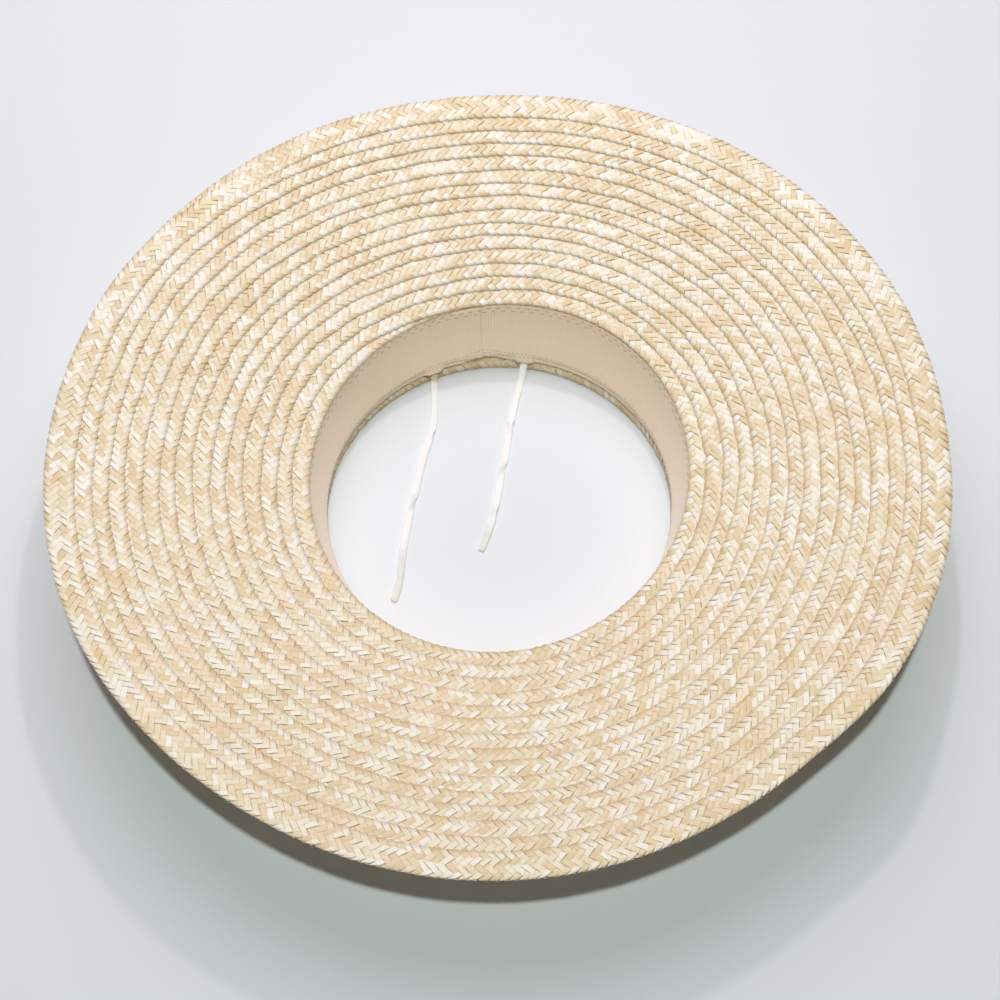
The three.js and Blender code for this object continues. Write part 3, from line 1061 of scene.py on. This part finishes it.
def even_stations(edge_points, passed, start, stop, middle_length):
    """Where a guide has its points: evenly along its edge, with room before and after."""
    run = run_along(edge_points)
    first, last = np.interp([start, stop], passed, run)
    cells = round(middle_length / CELL)
    cell = (last - first) / cells
    count = int((cells + LEAD + TRAIL) * POINTS_PER_CELL)
    places = np.linspace(first - LEAD * cell, last + TRAIL * cell, count)
    return cells, np.interp(places, run, passed)


def make_braid(name, edges, start, stop, seed, deeper=0.0):
    """Plait from start to stop degrees, where edges(passed) gives its near and far edges."""
    passed = np.arange(start - SPARE_BEFORE, stop + SPARE_AFTER, GUIDE_STEP)
    near, far = edges(passed)
    inside = (passed >= start) & (passed <= stop)
    middle = ((near + far) / 2)[inside]
    length = np.linalg.norm(np.diff(middle, axis=0), axis=1).sum()
    cells, stations = even_stations(near, passed, start, stop, length)
    near, far = edges(stations)
    values = {
        "Crossing": crossing, "Cells": cells, "Seed": seed, "Tilt": STRAW_TILT, "Deeper": deeper,
        "Finish": straw,
    }
    braid = grown(name, near, False, "across", far - near, plait_nodes, values)
    return braid, length


# %% [markdown]
# The brim is one long spiral. It could be drawn as fifteen rings, but then no line between two
# rows would ever wander, and on a sewn hat they do: the braid sets off at the back, where its
# start is tucked under, moves out by the width of one row on the way to the left side, and keeps
# that distance for the rest of the turn. So the same formula is followed for fifteen turns,
# and the spiral is cut into five pieces only to keep each mesh light.

# %% The brim as a spiral of fifteen turns
BRIM_PITCH = (BRIM_WIDTH - BRAID_WIDTH) / (BRIM_ROWS - 1)
TURN_START = 95.0
STEP_OUT_ENDS = 60.0
TUCK, TUCK_FROM, TUCK_TO = 1.1 * MM, 15, 50
RIM_CALM = 0.7
TOP_ROOM = 0.4 * MM
BRIM_LAP = 0.45 * MM
WAVER_ASIDE, WAVER_UP = 0.3 * MM, 0.04 * MM
WAVES_PER_RADIAN = np.array([1.3, 2.7, 4.9, 8.3, 13.7, 23.1, 37.9, 52.3])
TURNS_EACH = 3
aside_phases, up_phases = (
    chance_source.uniform(0, 2 * math.pi, len(WAVES_PER_RADIAN)) for _ in range(2)
)


def waver(passed, phases, size):
    """Low waves along the whole braid, from fixed phases."""
    angle = np.radians(passed)[:, None] * WAVES_PER_RADIAN
    parts = np.sin(angle + phases) / WAVES_PER_RADIAN**0.25
    return size * parts.sum(axis=1)


def brim_edges(passed):
    """Inner and outer edge of the brim's braid after so many degrees from its start."""
    turn = np.floor(passed / 360)
    row = turn - 1 + smoothstep(passed - 360 * turn, 0, STEP_OUT_ENDS)
    row = np.clip(row, 0, BRIM_ROWS - 1)
    over = passed - 360 * BRIM_ROWS
    tuck = TUCK * (1 - smoothstep(passed, 0, STEP_OUT_ENDS) + smoothstep(over, TUCK_FROM, TUCK_TO))
    free = smoothstep(row, 0, 1) * (1 - RIM_CALM * smoothstep(row, BRIM_ROWS - 2, BRIM_ROWS - 1))
    start = row * BRIM_PITCH + free * waver(passed, aside_phases, WAVER_ASIDE)
    lift = TOP_ROOM + tuck + waver(passed, up_phases, WAVER_UP)
    drop = BRIM_LAP * BRAID_WIDTH / BRIM_PITCH
    azimuth = (TURN_START + passed) % 360
    return (
        brim_point(azimuth, start, lift),
        brim_point(azimuth, start + BRAID_WIDTH, lift + drop),
    )


def make_brim():
    total = 0
    for index in range(BRIM_ROWS // TURNS_EACH):
        start = 360 * TURNS_EACH * index
        stop = start + 360 * TURNS_EACH
        if stop == 360 * BRIM_ROWS:
            stop += STEP_OUT_ENDS
        braid, length = make_braid(f"brim_braid_{index + 1}", brim_edges, start, stop, 10 * index + 3)
        finish_piece(braid, "brim")
        total += length
    print("braid in the brim:", round(total, 2), "m")


make_brim()

# %% [markdown]
# The crown band is the same braid, wound up the wall. Only its innermost row shows, below the
# ribbon, but all five rows are there, because the visor is also seen from outside and below.

# %% The crown band, row by row
BAND_ROWS = 5
BAND_PITCH = (WALL_HEIGHT - BRAID_WIDTH) / (BAND_ROWS - 1)
EDGE_ROOM = 0.8 * MM
BAND_DEEPER = 0.2


def band_edges(index):
    def edges(passed):
        azimuth = passed % 360
        start = index * BAND_PITCH + EDGE_ROOM
        drop = BRAID_LIFT * BRAID_WIDTH / BAND_PITCH
        near = wall_point(azimuth, start, TOP_ROOM)
        far = wall_point(azimuth, start + BRAID_WIDTH - 2 * EDGE_ROOM, TOP_ROOM + drop)
        return near, far

    return edges


def make_band():
    for index in range(BAND_ROWS):
        name, start = f"crown_band_row_{index + 1}", 30 * index
        braid, _ = make_braid(name, band_edges(index), start, start + 360, 500 + index, BAND_DEEPER)
        finish_piece(braid, "crown_band")


make_band()
bpy.data.objects.remove(crossing)

# %% [markdown]
# ## The ribbon
#
# The sweatband is a grosgrain ribbon: fine ribs run across its width. It is sewn to the straw
# along its top and again just above its lower edge, and behind its lower part runs a channel
# for the drawstring, which shows as a soft swelling. Its ends meet at the back, the left one
# lapped over the other. A bump texture could fake the ribs, but at this size real ones catch
# the light better, so they are in the mesh: a closed strip, four points to a rib.
#
# The ribbon's colour is an even beige. What one sees of the cloth is its ribs, with painted
# shade darkening their grooves and the line of the seam's step, and the fine weft that crosses
# them. Both follow the ribbon, so the mesh keeps each point's distance along and up the ribbon
# as an attribute, and as its third part how much painted shade the point gets.

# %% Cloth finish
RIBBON_LIGHT = linear(255, 238, 214)
RIBBON_DEEP = linear(249, 219, 187)


def ribbon_material():
    sockets = {
        "Roughness": 0.8, "Sheen Weight": 0.5, "Sheen Roughness": 0.5, "Specular IOR Level": 0.3,
    }
    material, tree, shader = new_material("grosgrain_ribbon", sockets)
    place = read(tree, "cloth_place")
    inputs = {"Place": place, "Fineness": 2.2}
    cloth = add_node(tree, "ShaderNodeGroup", inputs, node_tree=threads).outputs
    # The slub is the cloth's own; the place's third part adds painted shade in the grooves and at the seam's
    # step.
    shading = do_math(tree, "MULTIPLY_ADD", cloth["Slub"], 0.5, separated(tree, place)["Z"])
    shade = do_math(tree, "MULTIPLY_ADD", cloth["Mask"], 0.1, shading)
    colour = ramp(tree, shade, [(0.1, RIBBON_DEEP), (0.95, RIBBON_LIGHT)])
    tree.links.new(colour, shader.inputs["Base Color"])
    add_bump(tree, shader, cloth["Mask"], 0.3, 0.05 * MM)
    return material


ribbon_cloth = ribbon_material()

# %% Ribbon mesh
RIB_PITCH = 1.25 * MM
RIB_RELIEF = 0.12 * MM
RIB_SWELL = 0.7
POINTS_PER_RIB = 4
# Painted shade: the ribbon's colour is darker in the grooves between ribs and along the seam's step.
PLAIN_SHADE, GROOVE_SHADE, SEAM_SHADE = 0.55, 0.6, -0.4


def ribbon_azimuths():
    """Stations all round, four to a rib, with the rib's swell and the distance at each."""
    count = POINTS_PER_RIB * round(BAND_ROUND / RIB_PITCH)
    start = arc_at(SEAM_AZIMUTH)
    arcs = start + np.arange(count) * BAND_ROUND / count
    azimuth = np.interp(arcs % BAND_ROUND, TABLE_ARC, TABLE_AZIMUTH)
    rib = np.abs(np.sin(np.arange(count) * math.pi / POINTS_PER_RIB)) ** RIB_SWELL
    return azimuth, rib, arcs - start


def make_ribbon():
    azimuth, rib, arcs = ribbon_azimuths()
    layers = ribbon_layers(azimuth)
    layers[0] = 2.0
    low, high = CORD_LEVEL - CHANNEL_HALF, CORD_LEVEL + CHANNEL_HALF
    shares = np.array([0, 0.25, 0.6, 1.0])
    edge = ribbon_edge(azimuth)[:, None]
    inner_height = np.concatenate(
        [
            edge + shares * (low - edge),
            np.tile([low + 1 * MM, CORD_LEVEL, high - 1 * MM, high, high + 0.8 * MM, high + 1.6 * MM,
                     high + HEM_HEIGHT, 20 * MM, 25 * MM, 30 * MM, RIBBON_TOP - 1.2 * MM,
                     RIBBON_TOP - 0.3 * MM, RIBBON_TOP], (len(azimuth), 1)),
        ],
        axis=1,
    )
    outer_height = inner_height[:, [0, 3, 6, 10, 12, 16]][:, ::-1]
    height = np.concatenate([inner_height, outer_height], axis=1)
    count = inner_height.shape[1]
    selvedge = smoothstep(RIBBON_TOP - height, 0, 1.2 * MM) * smoothstep(height - edge, 0, 0.8 * MM)
    gap = ribbon_gap(azimuth[:, None], height)
    is_inner = (np.arange(height.shape[1]) < count)[None, :]
    relief = RIB_RELIEF * (rib[:, None] - 1) * selvedge
    gap = gap + is_inner * (RIBBON_THICKNESS * layers[:, None] + relief)
    rounded = np.zeros(height.shape[1])
    rounded[[0, count - 1]] = -0.2 * MM
    points = wall_point(azimuth[:, None], height, -(gap + rounded))
    mesh = mesh_from("ribbon", points, strip_faces(len(azimuth), height.shape[1], ring=True))
    groove = PLAIN_SHADE + GROOVE_SHADE * (rib[:, None] - 1) * selvedge
    # Painted shade along the step at the seam's lapped end.
    groove[-1] = SEAM_SHADE
    place = np.broadcast_arrays(arcs[:, None] / MM, height / MM, groove)
    store_vectors(mesh, "cloth_place", np.stack(place, axis=-1))
    mesh.materials.append(ribbon_cloth)
    mesh.shade_smooth()
    return link("ribbon", mesh)


ribbon = make_ribbon()
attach(ribbon, "root")
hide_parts("sweatband")

# %% [markdown]
# ### Stitches
#
# Four rows of machine stitches hold the ribbon: two along the top and two above the lower
# edge. A stitch is a short thread between two needle holes. One small stitch is modelled, and
# Geometry Nodes repeat it along a guide, turned to follow it. The needle holes at its ends are
# painted dark brown as painted shade, for the shade in those small dimples that one sees from a distance.

# %% One stitch
STITCH_THREAD = linear(214, 192, 156)
# Painted shade: the colour given to the needle holes, for the shade in them.
STITCH_HOLE_SHADE = linear(120, 84, 48)
STITCH_SIDES = 6
STITCH_STATIONS = [
    (-0.62, 0.0, 0.0), (-0.5, 0.55, 0.1), (-0.3, 0.8, 0.6),
    (0.3, 0.8, 0.6), (0.5, 0.55, 0.1), (0.62, 0.0, 0.0),
]


def make_stitch():
    """A stitch of unit length along x with its needle holes, z standing off the cloth."""
    points, hole_shades = [], []
    for x, radius, rise in STITCH_STATIONS:
        for side in range(STITCH_SIDES):
            angle = side * 2 * math.pi / STITCH_SIDES
            z = rise * 0.3 + radius * 0.35 * math.sin(angle)
            points.append((x, radius * math.cos(angle) * 0.5, z))
            # Painted shade at the needle holes.
            hole_shades.append(1.0 if abs(x) > 0.4 else 0.0)
    mesh = mesh_from("stitch", points, strip_faces(len(STITCH_STATIONS), STITCH_SIDES))
    mesh.attributes.new("hole_shade", "FLOAT", "POINT").data.foreach_set("value", hole_shades)
    return link("stitch", mesh)


def stitch_material():
    material, tree, shader = new_material("sewing_thread", {"Roughness": 0.7})
    place = add_node(tree, "ShaderNodeTexCoord").outputs["Object"]
    inputs = {"Place": place, "Fineness": 6000.0}
    slub = add_node(tree, "ShaderNodeGroup", inputs, node_tree=threads).outputs["Slub"]
    shade = do_math(tree, "MULTIPLY_ADD", slub, 0.25, read(tree, "hole_shade", "Fac"))
    colour = ramp(tree, shade, [(0.15, STITCH_THREAD), (0.85, STITCH_HOLE_SHADE)])
    tree.links.new(colour, shader.inputs["Base Color"])
    return material


stitch = make_stitch()
stitch_thread = stitch_material()


def stitch_tree():
    """Sets stitches along a guide whose points store the way off the cloth."""
    tree, source, result = new_group(
        "Stitches",
        "GeometryNodeTree",
        {
            "Guide": "Geometry", "Stitch": "Object", "Count": "Int", "Length": "Float",
            "Width": "Float", "Finish": "Material",
        },
        {"Stitches": "Geometry"},
    )
    curve = add_node(tree, "GeometryNodeMeshToCurve", {0: source["Guide"]}).outputs[0]
    inputs = {"Curve": curve, "Count": source["Count"]}
    places = add_node(tree, "GeometryNodeCurveToPoints", inputs, mode="COUNT")
    inputs = {"Primary Axis": places.outputs["Tangent"], "Secondary Axis": stored(tree, "off_cloth")}
    along = add_node(
        tree, "FunctionNodeAxesToRotation", inputs, primary_axis="X", secondary_axis="Z"
    ).outputs["Rotation"]
    length, width = source["Length"], source["Width"]
    shape = add_node(tree, "GeometryNodeObjectInfo", {"Object": source["Stitch"]})
    inputs = {
        "Points": places.outputs["Points"],
        "Instance": shape.outputs["Geometry"],
        "Rotation": along,
        "Scale": combined(tree, X=length, Y=width, Z=width),
    }
    instances = add_node(tree, "GeometryNodeInstanceOnPoints", inputs).outputs[0]
    real = add_node(tree, "GeometryNodeRealizeInstances", {0: instances}).outputs[0]
    tree.links.new(dressed(tree, real, source["Finish"]), result["Stitches"])
    return tree


stitch_nodes = stitch_tree()
print("one stitch has", len(stitch.data.polygons), "faces")

# %% Stitch rows on the ribbon
GUIDE_POINTS = 360
STITCH_DEPTH = 0.12 * MM
TOP_STITCH = {"spacing": 4.2 * MM, "length": 1.7 * MM, "width": 0.6 * MM}
HEM_STITCH = {"spacing": 2.1 * MM, "length": 1.0 * MM, "width": 0.45 * MM}
STITCH_ROWS = [
    ("top_stitches_1", TOP_STITCH, -1.6 * MM, 0.0),
    ("top_stitches_2", TOP_STITCH, -3.4 * MM, 1.4),
    ("hem_stitches_1", HEM_STITCH, 3.4 * MM, 0.0),
    ("hem_stitches_2", HEM_STITCH, 4.9 * MM, 0.7),
]


def ribbon_face(azimuth, height, proud):
    """Points on the ribbon's inner face, standing proud of it."""
    gap = ribbon_gap(azimuth, height) + RIBBON_THICKNESS * ribbon_layers(azimuth)
    return wall_point(azimuth, height, -(gap + proud))


def make_stitch_row(name, kind, above_edge, shift):
    """A row of stitches a height above the lower edge, or under the top where that is below zero."""
    azimuth = (np.linspace(0, 360, GUIDE_POINTS, endpoint=False) + shift + SEAM_AZIMUTH) % 360
    height = ribbon_edge(azimuth) + above_edge if above_edge > 0 else RIBBON_TOP + above_edge
    height = np.broadcast_to(height, azimuth.shape)
    points = ribbon_face(azimuth, height, -STITCH_DEPTH)
    off = ribbon_face(azimuth, height, 1 * MM) - points
    values = {
        "Stitch": stitch, "Count": round(BAND_ROUND / kind["spacing"]), "Length": kind["length"],
        "Width": kind["width"], "Finish": stitch_thread,
    }
    row = grown(name, points, True, "off_cloth", off, stitch_nodes, values)
    finish_piece(row, "sweatband")


for stitch_row in STITCH_ROWS:
    make_stitch_row(*stitch_row)
bpy.data.objects.remove(stitch)

# %% [markdown]
# ## Floor and light
#
# The light has four parts. A small lamp above the lens gives the thin, sharp shadow that hugs
# the near rim. A second small one, high and behind, gives the crisp grey strip under the back
# of the band, and a large one beside it the soft shade below the near rim. A faint, even room
# light fills the rest.

# %% Floor
FLOOR_HALF = 3.0
FLOOR_FINISH = {"Base Color": (0.80, 0.83, 0.87, 1.0), "Roughness": 0.85}


def make_floor():
    corners = [(x * FLOOR_HALF, y * FLOOR_HALF, 0) for x, y in ((-1, -1), (1, -1), (1, 1), (-1, 1))]
    mesh = mesh_from("floor", corners, [(0, 1, 2, 3)])
    mesh.materials.append(new_material("pale_floor", FLOOR_FINISH)[0])
    floor = link("floor", mesh)


make_floor()

# %% Lamps and room
LAMPS = {
    "lens_lamp": {
        "place": (0.0, -0.873, 2.35), "size": 0.1, "energy": 26.5, "colour": (0.9, 1.0, 0.95),
    },
    "high_lamp": {
        "place": (0.06, 0.56, 0.94), "size": 0.06, "energy": 1.6, "colour": (1.0, 0.92, 0.96),
    },
    "soft_lamp": {
        "place": (-0.06, 0.5, 0.95), "size": 1.2, "energy": 7.4, "colour": (1.0, 0.91, 0.96),
    },
}
ROOM_COLOUR, ROOM_STRENGTH = (1.0, 0.84, 0.72, 1.0), 0.04


def make_light(name, lamp):
    data = bpy.data.lights.new(name, "AREA")
    data.shape, data.size, data.energy, data.color = "DISK", lamp["size"], lamp["energy"], lamp["colour"]
    light = bpy.data.objects.new(name, data)
    light.location = lamp["place"]
    light.rotation_euler = Vector(lamp["place"]).to_track_quat("Z", "Y").to_euler()
    bpy.context.scene.collection.objects.link(light)


for lamp_name, lamp in LAMPS.items():
    make_light(lamp_name, lamp)
world = bpy.data.worlds.new("room")
world.use_nodes = True
background = world.node_tree.nodes["Background"]
background.inputs["Color"].default_value = ROOM_COLOUR
background.inputs["Strength"].default_value = ROOM_STRENGTH
bpy.context.scene.world = world
print("lamps:", [light.name for light in bpy.data.lights])
